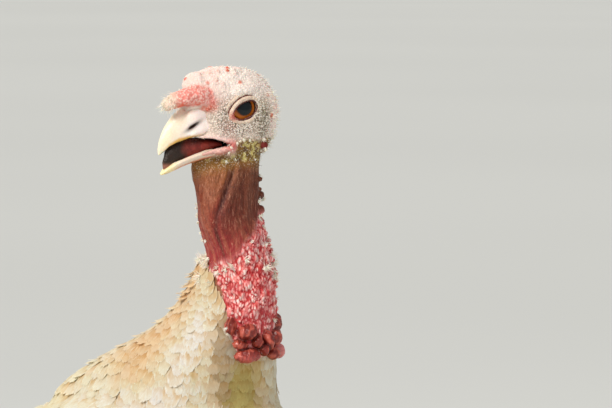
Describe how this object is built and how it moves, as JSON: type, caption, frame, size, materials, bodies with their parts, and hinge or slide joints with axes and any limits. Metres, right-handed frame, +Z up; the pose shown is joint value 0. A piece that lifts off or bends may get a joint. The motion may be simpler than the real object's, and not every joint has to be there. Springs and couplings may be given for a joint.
{
  "type": "turkey figure",
  "caption": "Life-size standing turkey with cream feathers, folded wings, closed tail, open beak and head turned to its right.",
  "frame": {"origin": "on the floor, under the middle of the whole bird's box", "axes": "+Z up, the body faces -Y, the bird's left side is +X; the head is turned over its right shoulder, towards -X"},
  "size_m": [0.2446, 0.6626, 0.6419],
  "materials": {
    "feathers": "matte",
    "head_skin": "satin",
    "neck_skin": "satin",
    "caruncle_skin": "satin",
    "snood_skin": "satin",
    "horn": "satin",
    "mouth": "gloss",
    "eye": "gloss",
    "leg_skin": "satin"
  },
  "bodies": {
    "root": {"torso": "feathers", "neck_base": "feathers", "neck_lower": "caruncle_skin", "neck_upper": "neck_skin", "head": "head_skin", "beak_upper": "horn", "beak_lower": "horn", "tongue": "mouth", "snood": "snood_skin", "eye_left": "eye", "wing_left": "feathers", "eye_right": "eye", "wing_right": "feathers", "tail": "feathers", "thigh_left": "feathers", "shank_left": "leg_skin", "foot_left": "leg_skin", "toe_left_inner": "leg_skin", "claw_left_inner": "horn", "toe_left_middle": "leg_skin", "claw_left_middle": "horn", "toe_left_outer": "leg_skin", "claw_left_outer": "horn", "toe_left_hind": "leg_skin", "claw_left_hind": "horn", "thigh_right": "feathers", "shank_right": "leg_skin", "foot_right": "leg_skin", "toe_right_inner": "leg_skin", "claw_right_inner": "horn", "toe_right_middle": "leg_skin", "claw_right_middle": "horn", "toe_right_outer": "leg_skin", "claw_right_outer": "horn", "toe_right_hind": "leg_skin", "claw_right_hind": "horn"}
  },
  "joints": []
}
